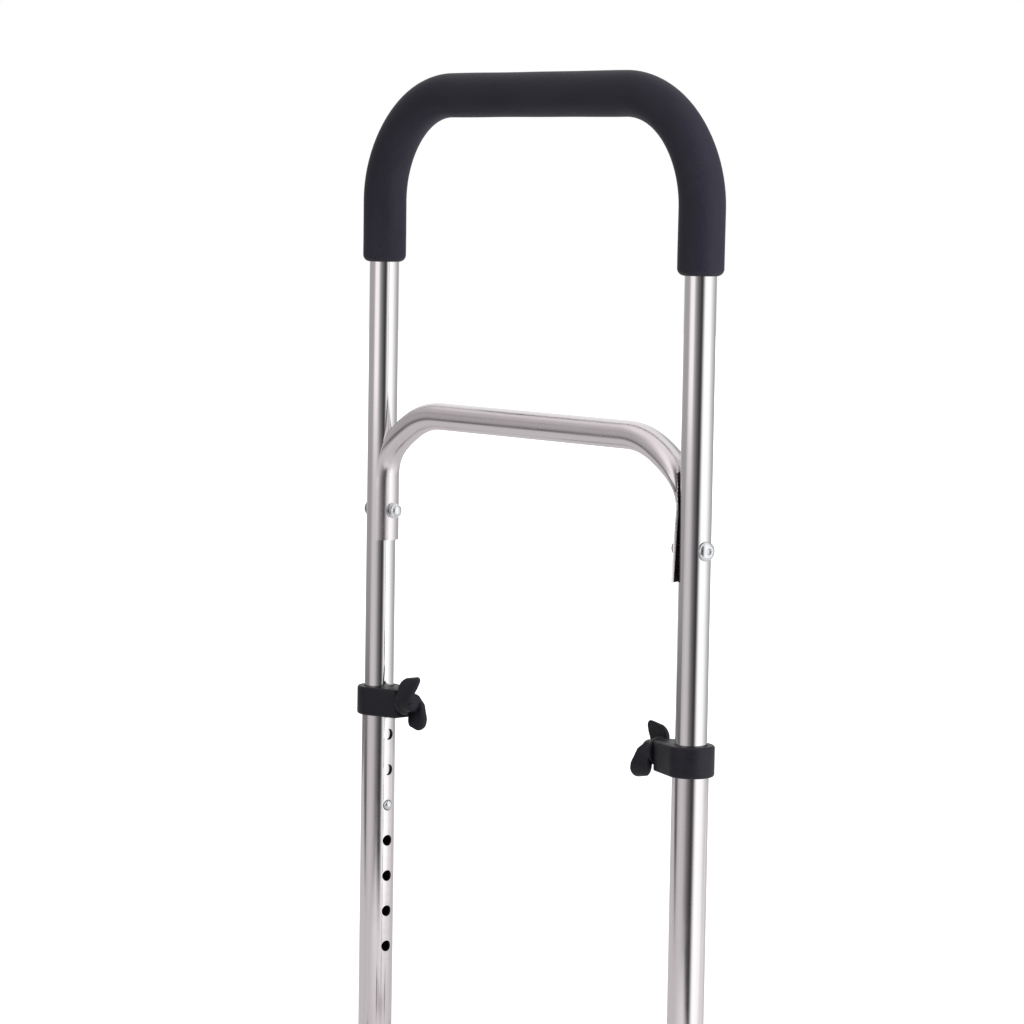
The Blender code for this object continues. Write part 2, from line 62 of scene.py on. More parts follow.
THROUGH = 0.05               # reach of a drill that goes right through a tube


def size(node):
    low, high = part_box(node)
    return high - low


def middle(node):
    low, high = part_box(node)
    return (low + high) / 2


LEG_X = middle("outer_leg_right").x
GRIP_LOW, GRIP_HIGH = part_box("hand_grip")
GRIP_R = GRIP_HIGH.y
FOAM_EDGE = 0.0050           # rounding of the grip's ends
FOAM_SLACK = 0.0001          # keeps its unevenness inside the CAD grip's radius
RAIL_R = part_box("handle_tube")[1].y
RAIL_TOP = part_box("handle_tube")[1].z - RAIL_R
RAIL_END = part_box("handle_tube")[0].z
RAIL_BEND = 0.0765
LEG_LOW, LEG_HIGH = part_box("outer_leg_right")
LEG_R = 0.0125
BRACE_LOW, BRACE_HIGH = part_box("brace_tube")
BRACE_R = 0.0099
BRACE_WALL = 0.0009
BRACE_BEND = 0.066
BRACE_INSET = 0.0026
BRACE_TOP = BRACE_HIGH.z - BRACE_R
SADDLE_SPAN = math.radians(56)
SADDLE_THICK = 0.0024
SADDLE_TAPER = {"left": 0.0010, "right": 0.0005}   # the pressed end is this much thinner at its edges
PRESS_START = 0.88           # in bend radii above the foot of the brace's bend
PRESS_END = 0.12
PRESS_SOFT = 0.0045          # how softly the brace's section is moved clear of its leg
FRONT_EDGE_LIFT = {"left": 0.0002, "right": 0.0030}   # how far the pressed end stands off its leg
BACK_EDGE_LIFT = 0.0002
FLARE_TOP = BRACE_LOW.z + 0.060
PAINTED_SHADE_TOP = BRACE_LOW.z + 0.074   # up to where the brace's side to the leg is unpolished and carries painted shade
BOLT_Z = middle("brace_bolt_right").z
BOLT_R = 0.0028
BOLT_HEAD_R = 0.0067
BOLT_BEYOND = 0.0030         # from the seat of a bolt's nut to its tip
BUTTON_Z = middle("snap_button_right").z
HOLE_COUNT = 7
HOLE_PITCH = 0.0266
HOLE_R = 0.0041
BUTTON_HOLE = 2
SPRING_FRONT = 0.0060        # the leaf behind the button, from the leg's centreline
SPRING_BACK = -0.0087        # the leaf that bears on the rail's far wall
SPRING_THICK = 0.0006
COLLAR_LOW, COLLAR_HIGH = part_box("clamp_collar_right")
COLLAR_R = COLLAR_HIGH.y
CLAMP_Z = middle("knob_stud_right").z
LUG_END = LEG_X - COLLAR_LOW.x
LUG_HALF = 0.0076
KNOB_START = LUG_END + 0.0005
PAD_HOLE_R = 0.0037          # of the leg's hole for the clamp's pad
KNOB_TURN = {"left": 0.0, "right": math.radians(17)}
RUNNER_LOW, RUNNER_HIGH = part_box("floor_runner_right")
RUNNER_R = size("floor_runner_right").x / 2
RUNNER_Z = middle("floor_runner_right").z
SOCKET_LOW, SOCKET_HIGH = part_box("leg_socket_right")
SOCKET_R = size("leg_socket_right").x / 2
SOCKET_BOLT_Z = middle("socket_bolt_right").z
CROSS_R = size("cross_tube").z / 2


# ---- node helpers ----
class Shader:
    """A material's nodes, made one at a time, with the links given by name of input."""

    def __init__(self, name):
        self.material = bpy.data.materials.new(name)
        self.material.use_nodes = True
        self.nodes = self.material.node_tree.nodes
        self.links = self.material.node_tree.links
        self.bsdf = self.nodes["Principled BSDF"]

    def add(self, kind, settings=None, **inputs):
        node = self.nodes.new(kind)
        for key, value in (settings or {}).items():
            setattr(node, key, value)
        for key, value in inputs.items():
            self.feed(node, key.replace("_", " "), value)
        return node

    def feed(self, node, key, value):
        socket = node.inputs[int(key)] if key.isdigit() else node.inputs[key]
        if isinstance(value, bpy.types.NodeSocket):
            self.links.new(value, socket)
        else:
            socket.default_value = value

    def finish(self, **inputs):
        for key, value in inputs.items():
            self.feed(self.bsdf, key.replace("_", " "), value)
        return self.material

    def scaled(self, vector, scale):
        return self.add("ShaderNodeMapping", Vector=vector, Scale=scale).outputs["Vector"]

    def noise(self, vector, scale, detail=4.0, roughness=0.55):
        node = self.add("ShaderNodeTexNoise", Vector=vector, Scale=scale, Detail=detail, Roughness=roughness)
        return node.outputs["Fac"]

    def cells(self, vector, scale):
        return self.add("ShaderNodeTexVoronoi", Vector=vector, Scale=scale).outputs["Distance"]

    def span(self, value, low, high, to_low=0.0, to_high=1.0):
        node = self.add("ShaderNodeMapRange", Value=value)
        for key, number in zip(("From Min", "From Max", "To Min", "To Max"), (low, high, to_low, to_high)):
            node.inputs[key].default_value = number
        return node.outputs["Result"]

    def math(self, operation, first, second):
        node = self.add("ShaderNodeMath", {"operation": operation})
        self.feed(node, "0", first)
        self.feed(node, "1", second)
        return node.outputs["Value"]

    def mix(self, first, first_share, second, second_share):
        """The sum of two values, each times its share."""
        return self.math("ADD", self.math("MULTIPLY", first, first_share),
                         self.math("MULTIPLY", second, second_share))

    def ramp(self, value, stops):
        node = self.add("ShaderNodeValToRGB", Fac=value)
        elements = node.color_ramp.elements
        while len(elements) < len(stops):
            elements.new(0.5)
        for element, (place, color) in zip(elements, stops):
            element.position = place
            element.color = (*color, 1.0)
        return node.outputs["Color"]

    def bump(self, height, strength, distance, normal=None):
        node = self.add("ShaderNodeBump", Height=height, Strength=strength, Distance=distance)
        if normal is not None:
            self.links.new(normal, node.inputs["Normal"])
        return node.outputs["Normal"]

    def lay(self):
        """Where a point is on a swept or turned piece: around it, and along it."""
        return self.add("ShaderNodeAttribute", {"attribute_name": "lay"}).outputs["Vector"]

    def place(self):
        return self.add("ShaderNodeTexCoord").outputs["Object"]


# ---- materials ----
def polished_steel(name, roughness, smudge, tint):
    """Polished stainless tube: long polishing lines, wiped smudges and a few specks."""
    s = Shader(name)
    lay = s.lay()
    lines = s.noise(s.scaled(lay, (900, 900, 7)), 1.0, 5.0, 0.65)
    long_lines = s.noise(s.scaled(lay, (260, 260, 2.2)), 1.0, 3.0, 0.6)
    smudges = s.noise(s.scaled(lay, (55, 55, 16)), 1.0, 5.0, 0.7)
    specks = s.span(s.cells(s.scaled(lay, (420, 420, 260)), 1.0), 0.045, 0.09, 1.0, 0.0)
    dark, pale = (tuple(min(c * share, 1) for c in tint) for share in (0.90, 1.05))
    color = s.ramp(s.mix(long_lines, 0.6, smudges, 0.4), [(0.25, dark), (0.55, tint), (0.8, pale)])
    rough = s.math("ADD", s.span(smudges, 0.35, 0.75, roughness, roughness + smudge),
                   s.math("MULTIPLY", specks, 0.18))
    height = s.mix(lines, 0.7, smudges, 0.3)
    return s.finish(Base_Color=color, Roughness=rough, Metallic=1.0, Normal=s.bump(height, 0.10, 0.00004))


def zinc_plate():
    """Bright zinc: a faint mottle and a fine grain."""
    s = Shader("zinc_plate")
    place = s.place()
    mottle = s.noise(place, 900, 4.0)
    fine = s.noise(place, 4200, 2.0)
    color = s.ramp(mottle, [(0.3, (0.66, 0.68, 0.70)), (0.7, (0.84, 0.85, 0.86))])
    return s.finish(Base_Color=color, Metallic=1.0, Roughness=s.span(mottle, 0.3, 0.7, 0.16, 0.30),
                    Normal=s.bump(fine, 0.10, 0.00005))


def spring_strip():
    """Dark rolled strip with a grain along it."""
    s = Shader("spring_strip")
    grain = s.noise(s.scaled(s.place(), (3000, 500, 500)), 1.0, 3.0)
    color = s.ramp(grain, [(0.3, (0.30, 0.30, 0.32)), (0.7, (0.46, 0.46, 0.48))])
    return s.finish(Base_Color=color, Metallic=1.0, Roughness=s.span(grain, 0.3, 0.7, 0.28, 0.42),
                    Normal=s.bump(grain, 0.15, 0.00005))


def grip_foam():
    """Closed-cell rubber foam: a smooth, slightly uneven skin with tiny pores and a faint grey sheen."""
    s = Shader("grip_foam")
    lay = s.lay()
    pores = s.span(s.cells(lay, 1500), 0.10, 0.42)
    skin_noise = s.noise(lay, 620, 5.0, 0.6)
    soft = s.noise(s.scaled(lay, (34, 34, 18)), 1.0, 3.0, 0.5)
    fine = s.noise(lay, 3200, 3.0, 0.6)
    tone = s.mix(skin_noise, 0.45, soft, 0.55)
    color = s.ramp(tone, [(0.30, (0.0052, 0.0048, 0.0092)), (0.52, (0.0082, 0.0076, 0.0136)),
                          (0.75, (0.0125, 0.0117, 0.0192))])
    bumps = s.bump(s.mix(pores, 0.7, fine, 0.5), 0.35, 0.00012, s.bump(soft, 0.25, 0.0010))
    return s.finish(Base_Color=color, Roughness=s.span(skin_noise, 0.3, 0.7, 0.50, 0.64), Normal=bumps,
                    Specular_IOR_Level=0.20, Sheen_Weight=0.025, Sheen_Roughness=0.55,
                    Sheen_Tint=(0.62, 0.64, 0.85, 1.0))


def moulded_plastic():
    """Glass-filled nylon: a fine spark texture, and flow marks that vary its tone and shine."""
    s = Shader("moulded_plastic")
    place = s.place()
    spark = s.noise(place, 2600, 4.0, 0.65)
    grain = s.cells(place, 1900)
    flow = s.noise(s.scaled(place, (120, 120, 340)), 1.0, 3.0)
    color = s.ramp(s.mix(spark, 0.5, flow, 0.5),
                   [(0.3, (0.0034, 0.0032, 0.0058)), (0.55, (0.0056, 0.0052, 0.0088)),
                    (0.8, (0.010, 0.0093, 0.0148))])
    height = s.mix(spark, 0.6, grain, 0.4)
    return s.finish(Base_Color=color, Roughness=s.span(flow, 0.3, 0.7, 0.36, 0.50), Specular_IOR_Level=0.24,
                    Normal=s.bump(height, 0.30, 0.00010))


def foot_rubber():
    """Black rubber with a dull bloom."""
    s = Shader("foot_rubber")
    place = s.place()
    bloom = s.noise(place, 90, 5.0, 0.6)
    grain = s.noise(place, 1800, 4.0)
    color = s.ramp(bloom, [(0.3, (0.012, 0.012, 0.013)), (0.7, (0.024, 0.024, 0.025))])
    return s.finish(Base_Color=color, Roughness=s.span(bloom, 0.3, 0.7, 0.62, 0.80), Specular_IOR_Level=0.35,
                    Normal=s.bump(grain, 0.30, 0.00012))


def weld_metal():
    """Weld metal with a straw tint from the heat."""
    s = Shader("weld_bead")
    place = s.place()
    heat = s.noise(place, 160, 3.0)
    ripple = s.noise(place, 1300, 3.0)
    color = s.ramp(heat, [(0.3, (0.42, 0.40, 0.40)), (0.6, (0.60, 0.57, 0.55)), (0.85, (0.66, 0.58, 0.48))])
    return s.finish(Base_Color=color, Metallic=1.0, Roughness=s.span(ripple, 0.3, 0.7, 0.24, 0.42),
                    Normal=s.bump(ripple, 0.35, 0.00015))


def tube_inside_and_painted_shade():
    """The unpolished inside of a drawn tube, grey and dull; on the brace's pressed ends its dark colour is
    also painted shade where they face a leg.
    """
    s = Shader("tube_inside_and_painted_shade")
    lines = s.noise(s.scaled(s.lay(), (500, 500, 12)), 1.0, 4.0)
    color = s.ramp(lines, [(0.3, (0.020, 0.019, 0.019)), (0.7, (0.045, 0.043, 0.043))])
    return s.finish(Base_Color=color, Metallic=0.3, Roughness=s.span(lines, 0.3, 0.7, 0.55, 0.75),
                    Normal=s.bump(lines, 0.15, 0.00006))


def make_materials():
    """Materials by use. A tube has two, outside and inside."""
    inside = tube_inside_and_painted_shade()
    return {
        "rail": [polished_steel("rail_steel", 0.055, 0.06, (0.80, 0.785, 0.795)), inside],
        # the brace's inside material also paints shade on its pressed ends where they face a leg
        "brace": [polished_steel("brace_steel", 0.19, 0.12, (0.80, 0.765, 0.775)), inside],
        "leg": [polished_steel("leg_steel", 0.085, 0.10, (0.79, 0.760, 0.775)), inside],
        "zinc": zinc_plate(),
        "spring": spring_strip(),
        "foam": grip_foam(),
        "plastic": moulded_plastic(),
        "rubber": foot_rubber(),
        "weld": weld_metal(),
    }


# ---- mesh tools ----
def smooth(obj, angle=40):
    obj.data.shade_smooth()
    obj.data.set_sharp_from_angle(angle=math.radians(angle))
    return obj


def new_object(name, bm, materials, smooth_angle=35):
    bmesh.ops.recalc_face_normals(bm, faces=bm.faces)
    mesh = bpy.data.meshes.new(name)
    bm.to_mesh(mesh)
    bm.free()
    for material in materials:
        mesh.materials.append(material)
    obj = bpy.data.objects.new(name, mesh)
    bpy.context.scene.collection.objects.link(obj)
    return smooth(obj, smooth_angle)


def skin(name, rings, materials, closed=False, lays=None, inner_from=None, smooth_angle=35):
    """A skin over rings of points. A ring of one point is a pole. Faces from inner_from on get material 1."""
    bm = bmesh.new()
    layer = bm.verts.layers.float_vector.new("lay")
    loops = []
    for i, ring in enumerate(rings):
        loop = []
        for k, point in enumerate(ring):
            vert = bm.verts.new(point)
            vert[layer] = lays[i][k] if lays else point
            loop.append(vert)
        loops.append(loop)
    pairs = list(zip(loops, loops[1:])) + ([(loops[-1], loops[0])] if closed else [])
    for n, (first, second) in enumerate(pairs):
        count = max(len(first), len(second))
        for i in range(count):
            j = (i + 1) % count
            corners = [first[i % len(first)], first[j % len(first)],
                       second[j % len(second)], second[i % len(second)]]
            face = bm.faces.new(list(dict.fromkeys(corners)))
            if inner_from is not None and inner_from <= n < len(loops) - 1:
                face.material_index = 1
    return new_object(name, bm, materials, smooth_angle)


def angles(count):
    return [2 * math.pi * i / count for i in range(count)]


def turned(name, profile, materials, sides=64, closed=False, smooth_angle=35, width=None):
    """A piece turned about X from (x, radius) pairs. Flats come from a width(angle, radius)."""
    rings = []
    for x, radius in profile:
        ring = []
        for a in angles(sides if radius else 1):
            r = width(a, radius) if width else radius
            ring.append(Vector((x, r * math.cos(a), r * math.sin(a))))
        rings.append(ring)
    lays = [[Vector((p.y, p.z, p.x)) for p in ring] for ring in rings]
    return skin(name, rings, materials, closed, lays, smooth_angle=smooth_angle)


def arc(center, radius, start, end, steps):
    """Points on an arc, with its angles in degrees."""
    turns = [math.radians(start + (end - start) * i / steps) for i in range(steps + 1)]
    return [(center[0] + radius * math.cos(a), center[1] + radius * math.sin(a)) for a in turns]


def dome(start, height, radius, step=9):
    """The profile of a dome from its rim to its tip, with a point every so many degrees."""
    turns = [math.radians(degrees) for degrees in range(0, 90, step)]
    return [(start + height * math.sin(a), radius * math.cos(a)) for a in turns] + [(start + height, 0)]


def at_leg(obj, side, z, turn=0.0):
    """Sets a piece built with its leg on the Z axis and +X towards the other leg."""
    flip = Matrix.Rotation(0 if side == "left" else math.pi, 4, "Z")
    obj.data.transform(Matrix.Translation((SIDES[side] * LEG_X, 0, z)) @ flip @ Matrix.Rotation(turn, 4, "X"))
    return obj


def apply_modifiers(obj):
    bpy.context.view_layer.update()
    evaluated = obj.evaluated_get(bpy.context.evaluated_depsgraph_get())
    mesh = bpy.data.meshes.new_from_object(evaluated)
    obj.modifiers.clear()
    obj.data = mesh


def combine(obj, tools, operation="DIFFERENCE"):
    """Cuts the tools out of a mesh, or joins them to it, for good, and deletes them."""
    for tool in tools:
        modifier = obj.modifiers.new("tool", "BOOLEAN")
        modifier.operation = operation
        modifier.material_mode = "TRANSFER" if tool.data.materials else "INDEX"
        modifier.solver = "EXACT"
        modifier.object = tool
    apply_modifiers(obj)
    for tool in tools:
        bpy.data.objects.remove(tool)
    return obj


def drill(start, end, radius, sides=48, material=None):
    """A round cutter from one point to another. The walls that it cuts take its material, if it has one."""
    along = Vector(end) - Vector(start)
    tool = turned("drill", [(0, 0), (0, radius), (along.length, radius), (along.length, 0)],
                  [material] if material else [], sides)
    turn = Vector((1, 0, 0)).rotation_difference(along).to_matrix().to_4x4()
    tool.data.transform(Matrix.Translation(Vector(start)) @ turn)
    return tool


def bevelled(obj, width, segments):
    modifier = obj.modifiers.new("edges", "BEVEL")
    modifier.width = width
    modifier.segments = segments
    modifier.limit_method = "ANGLE"
    modifier.angle_limit = math.radians(40)
    apply_modifiers(obj)


def prism(name, outline, low, high, material, axis="z"):
    """An outline in the XY plane drawn out along Z, or one in the XZ plane along Y."""
    def point(a, b, c):
        return Vector((a, b, c)) if axis == "z" else Vector((a, c, b))

    bm = bmesh.new()
    bottom = [bm.verts.new(point(a, b, low)) for a, b in outline]
    top = [bm.verts.new(point(a, b, high)) for a, b in outline]
    bm.faces.new(bottom)
    bm.faces.new(top)
    for i in range(len(outline)):
        j = (i + 1) % len(outline)
        bm.faces.new([bottom[i], bottom[j], top[j], top[i]])
    return new_object(name, bm, [material])


def stands_for(piece, body, slot, *nodes):
    """Puts a piece on its body, in place of CAD nodes. The slot is not used."""
    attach(piece, body)
    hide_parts(*nodes)


# ---- the rail, its foam and the brace ----
def arch_path(half_width, top, bend, end, straight_steps=24):
    """(centre, direction, length so far) along an inverted U, from its left end to its right end."""
    path = []
    straight = top - bend - end
    for i in range(straight_steps):
        z = end + straight * i / straight_steps
        path.append((Vector((-half_width, 0, z)), Vector((0, 0, 1)), z - end))
    for i in range(BEND_STEPS + 1):
        a = math.radians(90) * i / BEND_STEPS
        center = Vector((-half_width + bend * (1 - math.cos(a)), 0, top - bend * (1 - math.sin(a))))
        path.append((center, Vector((math.sin(a), 0, math.cos(a))), straight + bend * a))
    half_run = half_width - bend
    reach = straight + bend * math.pi / 2
    for i in range(1, straight_steps):
        path.append((Vector((-half_run + half_run * i / straight_steps, 0, top)), Vector((1, 0, 0)),
                     reach + half_run * i / straight_steps))
    whole = 2 * (reach + half_run)
    mirrored = [(Vector((-c.x, 0, c.z)), Vector((d.x, 0, -d.z)), whole - s) for c, d, s in reversed(path)]
    return path + [(Vector((0, 0, top)), Vector((1, 0, 0)), whole / 2)] + mirrored


def by_angle(radii):
    """Pairs of an angle and a radius round a fine tube, from one radius or a list."""
    return zip(angles(AROUND), radii if isinstance(radii, list) else [radii] * AROUND)


def swept_ring(center, direction, radii):
    """A ring about a path in the XZ plane. Angle 0 points to the inside of the arch."""
    inward, back = Vector((direction.z, 0, -direction.x)), Vector((0, 1, 0))
    return [center + r * (math.cos(a) * inward + math.sin(a) * back) for a, r in by_angle(radii)]


def lay_ring(radii, along):
    """The same ring on a straight tube, for the materials."""
    return [Vector((r * math.cos(a), r * math.sin(a), along)) for a, r in by_angle(radii)]


def hollow_arch(name, path, ring_at, radius, wall, materials):
    """A bent tube. ring_at(centre, direction, depth) is its section at a depth below its surface."""
    outside = [ring_at(c, d, 0.0) for c, d, s in path]
    inside = [ring_at(c, d, wall) for c, d, s in path]
    lays = [lay_ring(radius, s) for c, d, s in path]
    return skin(name, outside + inside[::-1], materials, closed=True, lays=lays + lays[::-1],
                inner_from=len(outside))


def rail_ring(center, direction, depth):
    return swept_ring(center, direction, RAIL_R - depth)


def make_rail(materials):
    path = arch_path(LEG_X, RAIL_TOP, RAIL_BEND, RAIL_END)
    rail = hollow_arch("rail_tube_fine", path, rail_ring, RAIL_R, TUBE_WALL, materials["rail"])
    tools = []
    for sign in SIDES.values():
        x = sign * LEG_X
        tools.append(drill((x - THROUGH, 0, BOLT_Z), (x + THROUGH, 0, BOLT_Z), BOLT_R + GAP))
        tools.append(drill((x, 0, BUTTON_Z), (x - sign * THROUGH, 0, BUTTON_Z), HOLE_R))
    combine(rail, tools)
    stands_for(smooth(rail), "rail", "polished_steel", "handle_tube")


def foam_radius(angle, along, whole):
    """The sleeve is a little thin round the bends, and not quite even. Angle 0 is inside the arch."""
    outside_thin, inside_thin, unevenness = 0.0007, 0.0004, 0.00012
    below_bend = RAIL_TOP - RAIL_BEND - GRIP_LOW.z
    in_bend = (min(along, whole - along) - below_bend) / (RAIL_BEND * math.pi / 2)
    stretch = math.sin(math.pi * min(max(in_bend, 0), 1)) ** 2
    inside = math.cos(angle)
    thin = stretch * (outside_thin * max(-inside, 0) + inside_thin * max(inside, 0))
    wave = unevenness * math.sin(61 * along + 2 * math.sin(angle)) * math.sin(23 * along)
    return GRIP_R - FOAM_SLACK - thin + wave


def make_grip(materials):
    """Foam sleeve with soft rounded ends."""
    path = arch_path(LEG_X, RAIL_TOP, RAIL_BEND, GRIP_LOW.z, straight_steps=40)
    first, last, whole = path[0], path[-1], path[-1][2]
    rounding = []
    for degrees in range(0, 91, 9):
        a = math.radians(degrees)
        rounding.append((FOAM_EDGE * (1 - math.cos(a)), FOAM_EDGE * (1 - math.sin(a))))
    near = [(first[0] + first[1] * back, first[1], back, shrink) for back, shrink in rounding]
    body = [(c, d, s, 0.0) for c, d, s in path if FOAM_EDGE < s < whole - FOAM_EDGE]
    far = [(last[0] - last[1] * back, last[1], whole - back, shrink) for back, shrink in reversed(rounding)]
    rings, lays = [], []
    for center, direction, along, shrink in near + body + far:
        radii = [foam_radius(a, along, whole) - shrink for a in angles(AROUND)]
        rings.append(swept_ring(center, direction, radii))
        lays.append(lay_ring(radii, along))
    for c, d, s in reversed(path):
        rings.append(swept_ring(c, d, RAIL_R + GAP))
        lays.append(lay_ring(RAIL_R + GAP, s))
    grip = skin("foam_grip", rings, [materials["foam"]], closed=True, lays=lays, smooth_angle=60)
    stands_for(grip, "rail", "grip_foam", "hand_grip")


def edge_lift(side, across, z):
    """How far the brace's pressed end stands off the leg, from -1 at its front edge to 1 at its back edge."""
    down = min(max((FLARE_TOP - z) / (FLARE_TOP - BRACE_LOW.z), 0), 1)
    most = FRONT_EDGE_LIFT[side] * down if across < 0 else BACK_EDGE_LIFT
    return most * across ** 2


def saddle_point(side, z, angle, depth):
    """A point of the brace's pressed end, which hugs the leg. Angle 0 is its inner face."""
    quarters = (angle + math.pi / 2) % (2 * math.pi) / (math.pi / 2) - 1
    on_face = quarters <= 1
    across = quarters if on_face else 2 - quarters
    spread = across * (SADDLE_SPAN - depth / RAIL_R)
    thick = SADDLE_THICK - SADDLE_TAPER[side] * across ** 2
    radius = RAIL_R + GAP + edge_lift(side, across, z) + (thick - depth if on_face else depth)
    sign = SIDES[side]
    return Vector((sign * (LEG_X - radius * math.cos(spread)), radius * math.sin(spread), z))


def kept_clear(point, leg_x, clear, soft):
    """The point moved out to where it clears the leg, with a soft start to the move."""
    away = Vector((point.x - leg_x, point.y))
    beyond = away.length - clear
    away = away.normalized() * (clear + (beyond + math.hypot(beyond, soft)) / 2)
    return Vector((leg_x + away.x, away.y, point.z))


def brace_ring(center, direction, depth):
    """The brace's section, round at the top and pressed to a saddle where it would meet the leg."""
    side = "left" if center.x < 0 else "right"
    leg_x = SIDES[side] * LEG_X
    above_bend = (center.z - (BRACE_TOP - BRACE_BEND)) / BRACE_BEND
    press = min(max((PRESS_START - above_bend) / (PRESS_START - PRESS_END), 0), 1)
    press = press * press * (3 - 2 * press)
    ring = []
    for angle, point in zip(angles(AROUND), swept_ring(center, direction, BRACE_R - depth)):
        target = saddle_point(side, point.z, angle, depth)
        target.z += (center.z - target.z) * press
        soft = PRESS_SOFT * (1 - press)
        ring.append(kept_clear(point.lerp(target, press), leg_x, RAIL_R + GAP + depth, soft))
    return ring


def paint_shade_facing_leg(brace):
    """The faces of the pressed ends that look at a leg weren't polished, and their dark colour is painted
    shade for the crevice between brace and leg. They are in half of each ring.
    """
    for face in brace.data.polygons:
        center = face.center
        if center.z < PAINTED_SHADE_TOP and AROUND // 4 < face.index % AROUND < AROUND * 3 // 4 - 1:
            from_leg = Vector((center.x - math.copysign(LEG_X, center.x), center.y)).normalized()
            if face.normal.xy.dot(from_leg) < -0.5:
                face.material_index = 1


def make_brace(materials):
    path = arch_path(LEG_X - BRACE_INSET, BRACE_TOP, BRACE_BEND, BRACE_LOW.z, straight_steps=12)
    brace = hollow_arch("brace_tube_fine", path, brace_ring, BRACE_R, BRACE_WALL, materials["brace"])
    # faces of the pressed ends that look at a leg take the dark inside material as painted shade
    paint_shade_facing_leg(brace)
    combine(brace, [drill((sign * LEG_X, 0, BOLT_Z), (sign * (LEG_X - THROUGH), 0, BOLT_Z), BOLT_R + GAP)
                    for sign in SIDES.values()])
    stands_for(smooth(brace), "rail", "polished_steel", "brace_tube")


# ---- fasteners ----
def domed_bolt(name, material, head_face, tip):
    """A domed head with a round recess and a rim round it, on a plain shank with a chamfered tip."""
    height, recess, chamfer = 0.0036, 0.0019, 0.0006
    dish = [(head_face - height * 0.46, 0), (head_face - height * 0.46, recess * 0.72),
            (head_face - height * 0.60, recess), (head_face - height * 0.80, recess * 1.10)]
    head = [(head_face - height * math.sin(math.radians(a)), BOLT_HEAD_R * math.cos(math.radians(a)))
            for a in range(58, -1, -4)]
    rim = [(head_face, BOLT_HEAD_R * 0.985), (head_face, BOLT_R)]
    shank = [(tip - chamfer, BOLT_R), (tip, BOLT_R - chamfer), (tip, 0)]
    return turned(name, dish + head + rim + shank, [material], smooth_angle=30)


def cap_nut(name, material, face):
    """An acorn nut along X, chamfered at both ends of its flats."""
    half_width, height, chamfer, step = 0.0048, 0.0032, 0.0004, 0.0001
    corner = half_width / math.cos(math.radians(30))
    hole, top = BOLT_R + GAP, face + height

    def flats(angle, radius):
        """Rings wider than the dome end at the flats, which are 60 degrees apart."""
        from_flat = (angle + math.radians(30)) % math.radians(60) - math.radians(30)
        return radius if radius < half_width else min(half_width / math.cos(from_flat), radius)

    profile = [(top, 0), (top, hole), (face, hole), (face, half_width * 1.02), (face + chamfer, corner),
               (top - chamfer - step, corner), (top, half_width)]
    profile += dome(top + step, 0.0022, half_width * 0.90)
    return turned(name, profile, [material], sides=72, smooth_angle=28, width=flats)


def make_brace_fasteners(side, materials):
    seat = RAIL_R + GAP + SADDLE_THICK + GAP
    hole, radius, thick, edge = BOLT_R + GAP, 0.0056, 0.0008, 0.0002
    face = seat + thick
    washer = turned(f"washer_fine_{side}",
                    [(seat, hole), (seat, radius - edge), (seat + edge, radius), (face - edge, radius),
                     (face, radius - edge), (face, hole)], [materials["zinc"]], closed=True)
    bolt = domed_bolt(f"bolt_fine_{side}", materials["zinc"], -RAIL_R - GAP, face + GAP + BOLT_BEYOND)
    nut = cap_nut(f"nut_fine_{side}", materials["zinc"], face + GAP)
    for piece, node in ((washer, "brace_washer"), (bolt, "brace_bolt"), (nut, "brace_nut")):
        stands_for(at_leg(piece, side, BOLT_Z), "rail", "zinc_fastener", f"{node}_{side}")


def make_button(side, materials):
    """A domed button, with a flange that lies behind the rail's wall."""
    back, front, flange, edge = 0.0066, 0.0078, 0.0048, 0.0002
    slack, tip, rounding = 0.0004, 0.0148, 0.0024
    radius = HOLE_R - slack
    profile = [(back, 0), (back, flange - edge), (back + edge, flange), (front - edge, flange),
               (front, flange - edge), (front, radius)]
    profile += dome(tip - rounding, rounding, radius)
    button = turned(f"button_fine_{side}", profile, [materials["zinc"]], sides=48)
    stands_for(at_leg(button, side, BUTTON_Z), f"button_{side}", "zinc_fastener", f"snap_button_{side}")


def make_button_spring(side, materials):
    """The V of strip steel behind a button, built as it stands before the button is pressed."""
    front_low, back_low, shoulder, half_width = -0.0045, -0.0090, 0.0050, 0.003
    fold, fold_r = (-0.0014, 0.0370), 0.0021
    route = [(SPRING_FRONT, front_low), (SPRING_FRONT, shoulder)] + arc(fold, fold_r, 10, 170, 16)
    route += [(SPRING_BACK, shoulder), (SPRING_BACK, back_low)]
    left, right = [], []
    for i, (x, z) in enumerate(route):
        before = Vector(route[max(i - 1, 0)])
        after = Vector(route[min(i + 1, len(route) - 1)])
        along = (after - before).normalized()
        aside = Vector((-along.y, along.x)) * SPRING_THICK / 2
        left.append((x + aside.x, z + aside.y))
        right.append((x - aside.x, z - aside.y))
    spring = prism(f"spring_fine_{side}", left + right[::-1], -half_width, half_width, materials["spring"],
                   axis="y")
    at_leg(spring, side, BUTTON_Z)
    stands_for(spring, "rail", "spring_steel", f"button_spring_{side}")
    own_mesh(spring)


# ---- the leg tubes and clamps ----
def straight_skin(name, radius, inner, low, high, materials):
    """An upright tube with a small chamfer on its outer rims."""
    steps, edge = 16, 0.0003
    heights = [low + edge] + [low + (high - low) * i / steps for i in range(1, steps)] + [high - edge]
    outer = [(radius - edge, low)] + [(radius, z) for z in heights] + [(radius - edge, high)]
    bore = [(inner, high)] + [(inner, z) for z in reversed(heights[1:-1])] + [(inner, low)]
    rings, lays = [], []
    for r, z in outer + bore:
        rings.append([Vector((r * math.cos(a), r * math.sin(a), z)) for a in angles(AROUND)])
        lays.append([Vector((radius * math.cos(a), radius * math.sin(a), z)) for a in angles(AROUND)])
    return skin(name, rings, materials, closed=True, lays=lays, inner_from=len(outer))


